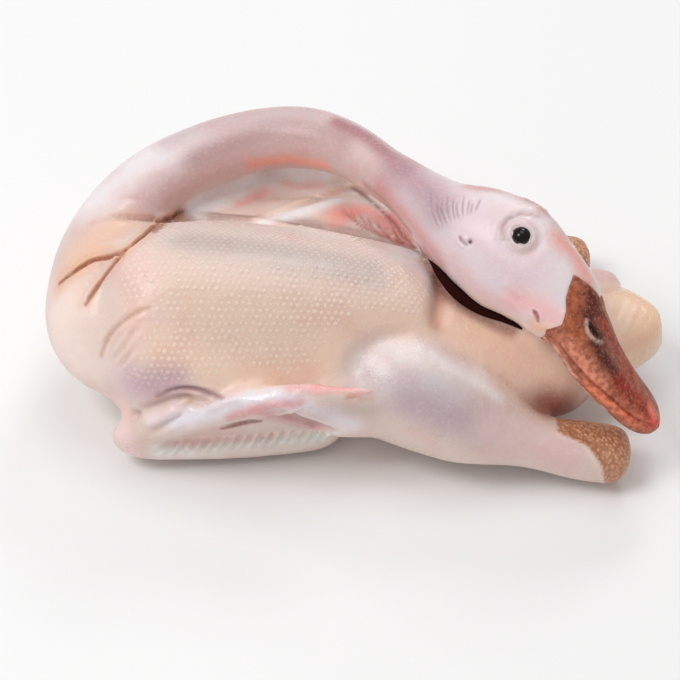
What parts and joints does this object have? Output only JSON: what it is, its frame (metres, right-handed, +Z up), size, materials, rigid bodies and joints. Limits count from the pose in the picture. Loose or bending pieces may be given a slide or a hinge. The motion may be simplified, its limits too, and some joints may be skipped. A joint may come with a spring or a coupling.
{
  "type": "whole duck",
  "caption": "Raw plucked whole duck lying on its back, neck looped round so that the head rests on the belly, with folded wings and trimmed legs.",
  "frame": {"origin": "middle of the footprint box, on the surface that the bird lies on", "axes": "+X from the shoulders to the tail, +Y to the bird's far side, round which the neck loops, +Z up out of the breast"},
  "size_m": [0.2546, 0.1595, 0.0979],
  "materials": {
    "skin": "raw skin, moist, from cream on the breast to pink on the neck and head",
    "bill": "horn, red brown, satin",
    "eye": "black, wet gloss"
  },
  "bodies": {
    "root": {"duck": "skin"}
  },
  "joints": []
}
